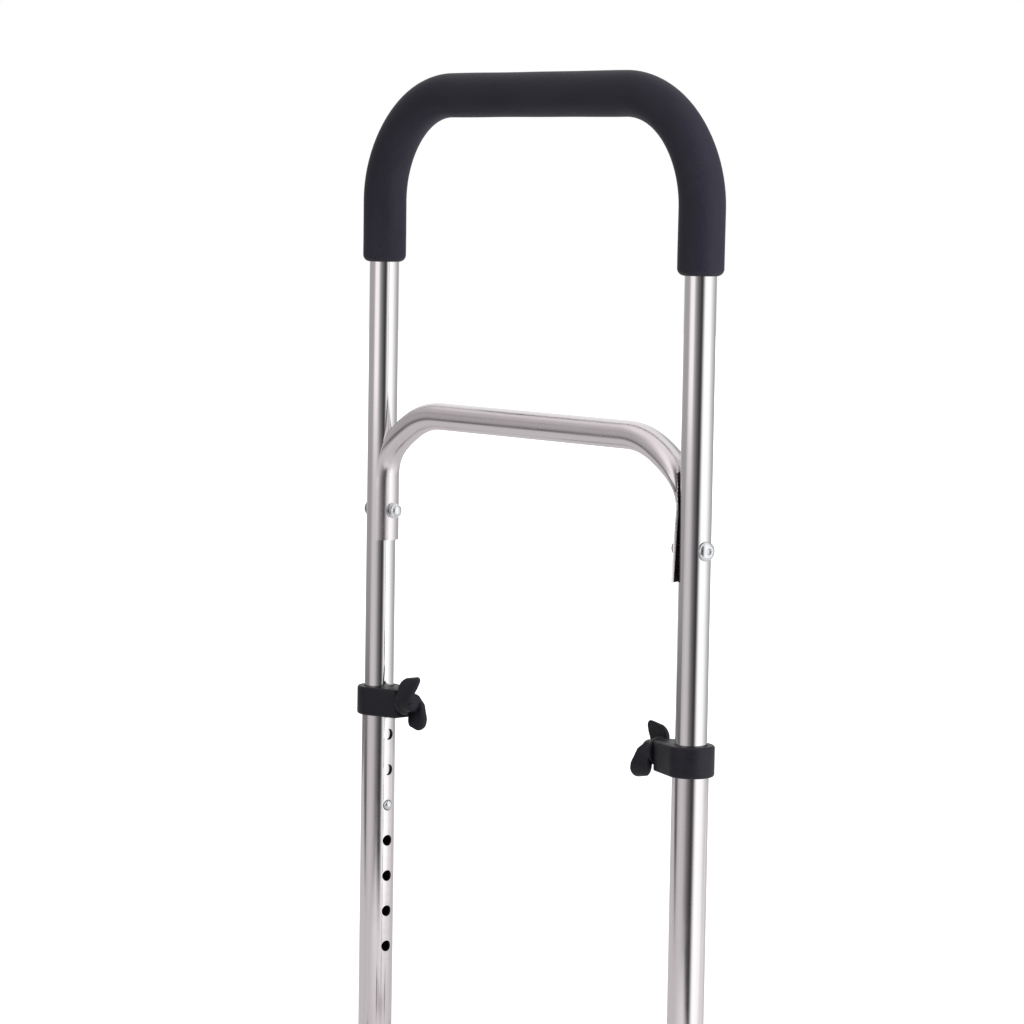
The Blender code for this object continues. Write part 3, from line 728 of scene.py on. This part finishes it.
def make_leg(side, materials):
    leg = straight_skin(f"leg_fine_{side}", LEG_R, RAIL_R + GAP, LEG_LOW.z, LEG_HIGH.z, materials["leg"])
    tools = []
    for i in range(HOLE_COUNT):
        z = BUTTON_Z + (BUTTON_HOLE - i) * HOLE_PITCH
        tools.append(drill((0, 0, z), (THROUGH, 0, z), HOLE_R, material=materials["leg"][1]))
    tools.append(drill((0, 0, CLAMP_Z), (THROUGH, 0, CLAMP_Z), PAD_HOLE_R))
    tools.append(drill((0, -THROUGH, SOCKET_BOLT_Z), (0, THROUGH, SOCKET_BOLT_Z), BOLT_R + GAP))
    combine(leg, tools)
    stands_for(at_leg(smooth(leg), side, 0), "root", "polished_steel", f"outer_leg_{side}")


def collar_outline(radius, lug_end, lug_half, steps):
    """A ring that runs out on straight flanks to a lug at +X."""
    reach = math.hypot(lug_end, lug_half)
    lug_angle = math.degrees(math.atan2(lug_half, lug_end))
    tangent = lug_angle + math.degrees(math.acos(radius / reach))
    return [(lug_end, -lug_half), (lug_end, lug_half)] + arc((0, 0), radius, tangent, 360 - tangent, steps)


def make_collar(side, materials):
    bottom, top = COLLAR_LOW.z - CLAMP_Z, COLLAR_HIGH.z - CLAMP_Z
    collar = prism(f"collar_fine_{side}", collar_outline(COLLAR_R, LUG_END, LUG_HALF, 72), bottom, top,
                   materials["plastic"])
    bevelled(collar, 0.0017, 5)
    lip, beyond, slack, nut_half, nut_depth = 0.0035, 0.01, 0.0001, 0.0053, 0.0056
    tools = [drill((0, 0, bottom - beyond), (0, 0, top + beyond), RAIL_R + GAP + slack, 96),
             drill((0, 0, bottom - beyond), (0, 0, top - lip), LEG_R + GAP, 96),
             drill((0, 0, 0), (LUG_END + beyond, 0, 0), PAD_HOLE_R - slack)]
    nut_corner = nut_half / math.cos(math.radians(30))
    pocket = drill((LUG_END - nut_depth, 0, 0), (LUG_END + beyond, 0, 0), nut_corner, 6)
    pocket.data.transform(Matrix.Rotation(math.radians(30), 4, "X"))
    combine(collar, tools + [pocket])
    stands_for(at_leg(smooth(collar), side, CLAMP_Z), "root", "black_plastic", f"clamp_collar_{side}")


def wing_outline():
    """One wing of the knob, seen along Y: a leaf whose tip points up and outwards."""
    outline = [(0.0340, -0.0052), (0.0315, -0.0010), (0.0311, 0.0100)]
    outline += arc((0.0395, 0.0105), 0.0084, 172, 112, 6) + arc((0.0461, 0.0156), 0.0043, 100, -20, 8)
    return outline + [(0.0496, 0.0115), (0.0468, 0.0064), (0.0450, 0.0010), (0.0390, -0.0052)]


def make_wing(material):
    """A thick leaf that stands beside the hub and curves back over it towards its tip."""
    thick, beside, curve, curve_z = 0.0054, 0.0060, 0.0307, 0.003
    low, cuts, between = -0.0055, 24, 0.0010
    wing = prism("wing", wing_outline(), -thick / 2, thick / 2, material, axis="y")
    bevelled(wing, 0.0021, 6)
    bm = bmesh.new()
    bm.from_mesh(wing.data)
    for i in range(1, cuts + 1):
        bmesh.ops.bisect_plane(bm, geom=bm.verts[:] + bm.edges[:] + bm.faces[:],
                               plane_co=(0, 0, low + between * i), plane_no=(0, 0, 1))
    for vert in bm.verts:
        rise = vert.co.z - curve_z
        vert.co.y -= beside - (curve - math.sqrt(curve ** 2 - rise ** 2))
    bm.to_mesh(wing.data)
    bm.free()
    return wing


def make_knob(side, materials):
    """A hub with a flange, and two wings opposite each other."""
    hub_r, hub_end, bore_r, bore_depth = 0.0068, 0.0420, 0.0033, 0.0108
    flange = [(0, 0), (0, 0.0094), (0.0003, 0.0098), (0.0008, 0.0100), (0.0026, 0.0100), (0.0034, 0.0097),
              (0.0048, 0.0087), (0.0064, 0.0079)]
    profile = [(KNOB_START + x, radius) for x, radius in flange] + [(hub_end - 0.004, hub_r + 0.0003)]
    profile += dome(hub_end, 0.0018, hub_r, 10)
    knob = turned(f"knob_fine_{side}", profile, [materials["plastic"]])
    wings = [make_wing(materials["plastic"]), make_wing(materials["plastic"])]
    wings[1].data.transform(Matrix.Rotation(math.pi, 4, "X"))
    combine(knob, wings, "UNION")
    combine(knob, [drill((KNOB_START - 0.01, 0, 0), (KNOB_START + bore_depth, 0, 0), bore_r)])
    at_leg(smooth(knob, 50), side, CLAMP_Z, KNOB_TURN[side])
    stands_for(knob, f"knob_{side}", "black_plastic", f"wing_knob_{side}")


# ---- the base ----
def make_socket(side, materials):
    socket = straight_skin(f"socket_fine_{side}", SOCKET_R, LEG_R + GAP, SOCKET_LOW.z, SOCKET_HIGH.z,
                           materials["leg"])
    tools = [drill((0, -THROUGH, RUNNER_Z), (0, THROUGH, RUNNER_Z), RUNNER_R + GAP, 96),
             drill((0, -THROUGH, SOCKET_BOLT_Z), (0, THROUGH, SOCKET_BOLT_Z), BOLT_R + GAP)]
    combine(socket, tools)
    stands_for(at_leg(smooth(socket), side, 0), "root", "polished_steel", f"leg_socket_{side}")


def make_socket_fasteners(side, materials):
    bolt = domed_bolt(f"socket_bolt_fine_{side}", materials["zinc"], -SOCKET_R - GAP,
                      SOCKET_R + GAP + BOLT_BEYOND)
    nut = cap_nut(f"socket_nut_fine_{side}", materials["zinc"], SOCKET_R + GAP)
    for piece, node in ((bolt, "socket_bolt"), (nut, "socket_nut")):
        piece.data.transform(Matrix.Translation((SIDES[side] * LEG_X, 0, SOCKET_BOLT_Z))
                             @ Matrix.Rotation(math.pi / 2, 4, "Z"))
        stands_for(piece, "root", "zinc_fastener", f"{node}_{side}")


def lying_tube(name, axis, low, high, center, radius, materials):
    """A tube that lies along X or Y."""
    tube = straight_skin(name, radius, radius - TUBE_WALL, low, high, materials)
    turn = Matrix.Rotation(math.pi / 2, 4, "Y") if axis == "x" else Matrix.Rotation(-math.pi / 2, 4, "X")
    tube.data.transform(Matrix.Translation(center) @ turn)
    return tube


def make_runner(side, materials):
    runner = lying_tube(f"runner_fine_{side}", "y", RUNNER_LOW.y, RUNNER_HIGH.y,
                        (SIDES[side] * LEG_X, 0, RUNNER_Z), RUNNER_R, materials["leg"])
    stands_for(smooth(runner), "root", "polished_steel", f"floor_runner_{side}")


def make_cross_tube(materials):
    half = size("cross_tube").x / 2
    tube = lying_tube("cross_tube_fine", "x", -half, half, (0, 0, RUNNER_Z), CROSS_R, materials["leg"])
    tools = []
    for sign in SIDES.values():
        x = sign * LEG_X
        tools.append(drill((x, -THROUGH, RUNNER_Z), (x, THROUGH, RUNNER_Z), RUNNER_R + GAP, 96))
        tools.append(drill((x, 0, 0), (x, 0, SOCKET_HIGH.z), SOCKET_R + GAP, 96))
    combine(tube, tools)
    stands_for(smooth(tube), "root", "polished_steel", "cross_tube")


def weld_bead(name, points, radius, material):
    """A bead along a loop of points, with a ripple every few of them."""
    ripple, ripple_points, sides = 0.13, 6, 12
    rings = []
    for i, point in enumerate(points):
        along = (points[(i + 1) % len(points)] - points[i - 1]).normalized()
        side = along.cross(Vector((0, 0, 1)))
        side = side.normalized() if side.length > 1e-3 else Vector((1, 0, 0))
        over = side.cross(along).normalized()
        r = radius * (1 + ripple * math.sin(i * 2 * math.pi / ripple_points))
        rings.append([point + r * (math.cos(a) * side + math.sin(a) * over) for a in angles(sides)])
    return skin(name, rings, [material], closed=True, smooth_angle=60)


def make_welds(side, materials):
    """Beads where the socket stands on its runner, and where the cross tube meets the runner."""
    sign, stand_off = SIDES[side], 0.0004
    seat = []
    for a in angles(144):
        x, y = SOCKET_R * math.cos(a), SOCKET_R * math.sin(a)
        on_runner = RUNNER_Z + math.sqrt(max(RUNNER_R ** 2 - x ** 2, 0))
        seat.append(Vector((sign * LEG_X + x, y, max(on_runner, SOCKET_LOW.z))))
    cross = []
    for a in angles(96):
        y, z = CROSS_R * math.cos(a), CROSS_R * math.sin(a)
        reach = math.sqrt(RUNNER_R ** 2 - min(abs(z), RUNNER_R) ** 2) + stand_off
        cross.append(Vector((sign * (LEG_X - reach), y, RUNNER_Z + z)))
    for name, points, radius in (("socket_weld", seat, 0.0015), ("cross_weld", cross, 0.0013)):
        bead = weld_bead(f"{name}_{side}", points, radius, materials["weld"])
        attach(bead, "root")


def block(width, low_z, high_z, low_y, high_y, material):
    """A block across the Y axis."""
    corners = [(-width / 2, low_z), (width / 2, low_z), (width / 2, high_z), (-width / 2, high_z)]
    return prism("block", corners, low_y, high_y, material, axis="y")


def foot_band(y, radius, length, material):
    """A raised band over the upper part of a boot."""
    profile = [(-0.0009, -0.0006), (-0.0005, 0.0002), (0, 0.0005), (0.0005, 0.0002), (0.0009, -0.0006)]
    band = turned("band", [(y + along, radius + rise) for along, rise in profile], [material], sides=96,
                  closed=True)
    band.data.transform(Matrix.Translation((0, 0, RUNNER_Z)) @ Matrix.Rotation(math.pi / 2, 4, "Z"))
    return combine(band, [block(0.06, -0.03, RUNNER_Z * 0.55, -0.02, length + 0.02, material)])


def make_foot(side, end, materials):
    """A ribbed rubber boot: round above, flat below with cross grooves in its tread."""
    node = f"rubber_foot_{end}_{side}"
    low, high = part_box(node)
    length = high.y - low.y
    sole, wall, groove_width, groove_depth = 0.027, 0.004, 0.0016, 0.0009
    first_band, band_pitch = 0.0040, 0.0042
    radius, rubber = (high.x - low.x) / 2, materials["rubber"]
    outline = [(-sole / 2, 0), (sole / 2, 0)] + arc((0, RUNNER_Z), radius, -15, 195, 48)
    foot = prism(f"{node}_fine", outline, 0, length, rubber, axis="y")
    bevelled(foot, 0.0018, 5)
    tools = [drill((0, -0.01, RUNNER_Z), (0, length - wall, RUNNER_Z), RUNNER_R + GAP, 96)]
    for i in range(5):
        y = length * (0.18 + 0.16 * i)
        tools.append(block(0.04, -0.001, groove_depth, y - groove_width / 2, y + groove_width / 2, rubber))
    combine(foot, tools)
    combine(foot, [foot_band(first_band + band_pitch * i, radius, length, rubber) for i in range(3)], "UNION")
    mouth, turn = (low.y, 0) if end == "back" else (high.y, math.pi)
    foot.data.transform(Matrix.Translation((SIDES[side] * LEG_X, mouth, 0)) @ Matrix.Rotation(turn, 4, "Z"))
    stands_for(smooth(foot, 45), "root", "foot_rubber", node)


def paint_cad_nodes(materials):
    """The CAD nodes that stay, each with its finish."""
    for side in SIDES:
        for node, key in (("clamp_nut", "zinc"), ("clamp_pad", "plastic"), ("knob_stud", "zinc")):
            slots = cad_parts[f"{node}_{side}"].data.materials
            slots.clear()
            slots.append(materials[key])


# ---- the studio ----
CAMERA_AZIMUTH = math.radians(49.78)
CAMERA_ELEVATION = math.radians(5.35)
CAMERA_ROLL = math.radians(0.92)
CAMERA_PLACE = (1.9087, -1.6311, 0.7126)
LENS_MM = 125.86


def make_camera():
    a, e = CAMERA_AZIMUTH, CAMERA_ELEVATION
    back = Vector((math.sin(a) * math.cos(e), -math.cos(a) * math.cos(e), math.sin(e)))
    right = (-back).cross(Vector((0, 0, 1))).normalized()
    up = right.cross(-back)
    turned_right = right * math.cos(CAMERA_ROLL) + up * math.sin(CAMERA_ROLL)
    turned_up = up * math.cos(CAMERA_ROLL) - right * math.sin(CAMERA_ROLL)
    camera = bpy.data.objects.new("camera", bpy.data.cameras.new("camera"))
    camera.data.sensor_width = 36
    camera.data.lens = LENS_MM
    camera.data.clip_start = 0.05
    camera.data.clip_end = 50
    matrix = Matrix((turned_right, turned_up, back)).transposed().to_4x4()
    matrix.translation = Vector(CAMERA_PLACE)
    camera.matrix_world = matrix
    bpy.context.scene.collection.objects.link(camera)
    bpy.context.scene.camera = camera


# Brightness of the screens that the steel reflects, level with the frame. Angles are in degrees from the
# camera's side, and positive ones are to its right.
AROUND_TONES = [(-180, 1.00), (-150, 0.95), (-130, 0.70), (-118, 0.46), (-92, 0.43), (-75, 0.60),
                (-55, 0.68), (-40, 0.62), (-32, 0.54), (-25, 0.41), (-18, 0.27), (-11, 0.20), (-4, 0.13),
                (5, 0.075), (12, 0.05), (17, 0.09), (24, 0.42), (31, 0.95), (39, 1.28), (50, 1.35),
                (74, 1.25), (83, 1.12), (92, 0.92), (102, 0.78), (114, 0.62), (128, 0.48), (148, 0.42),
                (165, 0.80), (180, 1.00)]
# The same for the screens on the left, by angle above the horizon.
LEFT_TONES = [(-60, 0.60), (-32, 0.45), (-22, 0.14), (-13, 0.13), (-6, 0.38), (0, 0.44), (10, 0.47),
              (18, 0.40), (26, 0.58), (33, 0.50), (38, 0.80), (50, 0.95), (90, 1.00)]
PINK = (1.0, 0.955, 0.975)


def tone_at(tones, value):
    for (a, first), (b, second) in zip(tones, tones[1:]):
        if a <= value <= b:
            t = (value - a) / (b - a)
            return first + (second - first) * t * t * (3 - 2 * t)
    return tones[-1][1]


def window(value, low, high, soft):
    """1 between low and high, 0 outside, with soft edges."""
    rise = min(max((value - low) / soft + 0.5, 0), 1)
    fall = min(max((high - value) / soft + 0.5, 0), 1)
    return rise * fall


def screen_light(around, above):
    level = tone_at(AROUND_TONES, around)
    left = window(around, -220, -84, 12)
    level += (tone_at(LEFT_TONES, above) - level) * left * window(around, -150, 0, 20)
    panel = window(around, -72, -38, 12) * window(above, -2.6, 60, 2.2)
    level += (1.15 - level) * panel
    level += (0.95 - level) * window(above, 50, 200, 16)
    return level


def emission_stage(name, bm, layer_name):
    """A stage surface that glows as its colour layer says, and that only shiny surfaces see."""
    obj = new_object(name, bm, [])
    material = bpy.data.materials.new(name)
    material.use_nodes = True
    nodes, links = material.node_tree.nodes, material.node_tree.links
    nodes.clear()
    attribute = nodes.new("ShaderNodeAttribute")
    attribute.attribute_name = layer_name
    emission = nodes.new("ShaderNodeEmission")
    clear = nodes.new("ShaderNodeBsdfTransparent")
    mix = nodes.new("ShaderNodeMixShader")
    output = nodes.new("ShaderNodeOutputMaterial")
    links.new(attribute.outputs["Color"], emission.inputs["Color"])
    links.new(attribute.outputs["Alpha"], mix.inputs["Fac"])
    links.new(clear.outputs["BSDF"], mix.inputs[1])
    links.new(emission.outputs["Emission"], mix.inputs[2])
    links.new(mix.outputs["Shader"], output.inputs["Surface"])
    obj.data.materials.append(material)
    obj.visible_camera = obj.visible_diffuse = obj.visible_shadow = obj.visible_transmission = False


def grid(name, columns, rows, point, color):
    """A mesh over a grid, with a colour at each corner."""
    bm = bmesh.new()
    layer = bm.loops.layers.float_color.new("glow")
    verts = [[bm.verts.new(point(i / columns, j / rows)) for i in range(columns + 1)]
             for j in range(rows + 1)]
    for j in range(rows):
        for i in range(columns):
            corners = [(i, j), (i + 1, j), (i + 1, j + 1), (i, j + 1)]
            face = bm.faces.new([verts[b][a] for a, b in corners])
            for loop, (a, b) in zip(face.loops, corners):
                loop[layer] = color(a / columns, b / rows)
    emission_stage(name, bm, "glow")


def make_screens():
    """A dome of light screens with dark gaps between them, for the steel to reflect."""
    radius, low, high = 3.2, -62, 78
    front = CAMERA_AZIMUTH - math.pi / 2

    def point(u, v):
        a = front + math.radians(-180 + 360 * u)
        e = math.radians(low + (high - low) * v)
        return (radius * math.cos(a) * math.cos(e), radius * math.sin(a) * math.cos(e),
                0.45 + radius * math.sin(e))

    def color(u, v):
        around, above = -180 + 360 * u, low + (high - low) * v
        value = screen_light(around, above)
        pink = window(around, -150, 15, 30)
        return tuple(value * (1 + (p - 1) * pink) for p in PINK) + (1,)

    grid("screens", 180, 90, point, color)


def make_floor_glow():
    """The sheet of white paper that the frame stands on, as the steel reflects it."""
    x_low, x_high, y_low, y_high, soft = -1.9, 0.72, -0.90, 1.9, 0.20

    def point(u, v):
        return (x_low + (x_high - x_low) * u, y_low + (y_high - y_low) * v, -0.0005)

    def color(u, v):
        x, y, z = point(u, v)
        across = window(x, x_low + soft / 2, x_high - soft / 2, soft)
        along = window(y, y_low + soft / 2, y_high - soft / 2, soft)
        level = 0.66 + 0.24 * window(x, 0.15, 2, 0.4)
        return (level, level * 0.965, level * 0.98, across * along)

    grid("floor_glow", 104, 112, point, color)


def make_floor():
    """A plain pale round floor that fades into the backdrop."""
    bm = bmesh.new()
    bmesh.ops.create_circle(bm, cap_ends=True, segments=128, radius=14.0)
    floor = new_object("floor", bm, [])
    s = Shader("floor")
    far = s.add("ShaderNodeVectorMath", {"operation": "LENGTH"})
    s.links.new(s.place(), far.inputs[0])
    fade = s.span(far.outputs["Value"], 0.5, 3.0)
    tone = s.noise(s.place(), 3.0, 2.0)
    color = s.ramp(tone, [(0.3, (0.90, 0.90, 0.90)), (0.7, (0.93, 0.93, 0.93))])
    glow = s.math("MULTIPLY", fade, 0.75)
    floor.data.materials.append(s.finish(Base_Color=color, Roughness=0.9, Specular_IOR_Level=0.0,
                                         Emission_Color=(1, 1, 1, 1), Emission_Strength=glow))
    floor.visible_glossy = False


def area_light(name, place, target, width, height, power):
    light = bpy.data.lights.new(name, "AREA")
    light.shape = "RECTANGLE"
    light.size, light.size_y = width, height
    light.energy = power
    obj = bpy.data.objects.new(name, light)
    obj.location = place
    obj.rotation_euler = (Vector(target) - Vector(place)).to_track_quat("-Z", "Y").to_euler()
    obj.visible_glossy = False
    bpy.context.scene.collection.objects.link(obj)


def make_lights():
    target = (0, 0, RAIL_TOP * 0.6)

    def from_front(degrees, distance, height):
        a = CAMERA_AZIMUTH - math.pi / 2 + math.radians(degrees)
        return (distance * math.cos(a), distance * math.sin(a), height)

    area_light("key", from_front(52, 1.8, 0.85), target, 0.8, 1.0, 62)
    area_light("fill", from_front(-70, 2.2, 1.3), target, 1.4, 1.4, 8)
    world = bpy.data.worlds.new("studio")
    bpy.context.scene.world = world
    world.use_nodes = True
    background = world.node_tree.nodes["Background"]
    background.inputs["Color"].default_value = (1, 1, 1, 1)
    background.inputs["Strength"].default_value = 1.0
    bpy.context.scene.view_settings.view_transform = "Standard"


# ---- the whole ----
def main():
    materials = make_materials()
    make_camera()
    make_rail(materials)
    make_grip(materials)
    make_brace(materials)
    make_cross_tube(materials)
    for side in SIDES:
        make_brace_fasteners(side, materials)
        make_button(side, materials)
        make_button_spring(side, materials)
        make_leg(side, materials)
        make_collar(side, materials)
        make_knob(side, materials)
        make_runner(side, materials)
        make_socket(side, materials)
        make_socket_fasteners(side, materials)
        make_welds(side, materials)
        for end in ("front", "back"):
            make_foot(side, end, materials)
    paint_cad_nodes(materials)
    make_screens()
    make_floor_glow()
    make_floor()
    make_lights()


main()
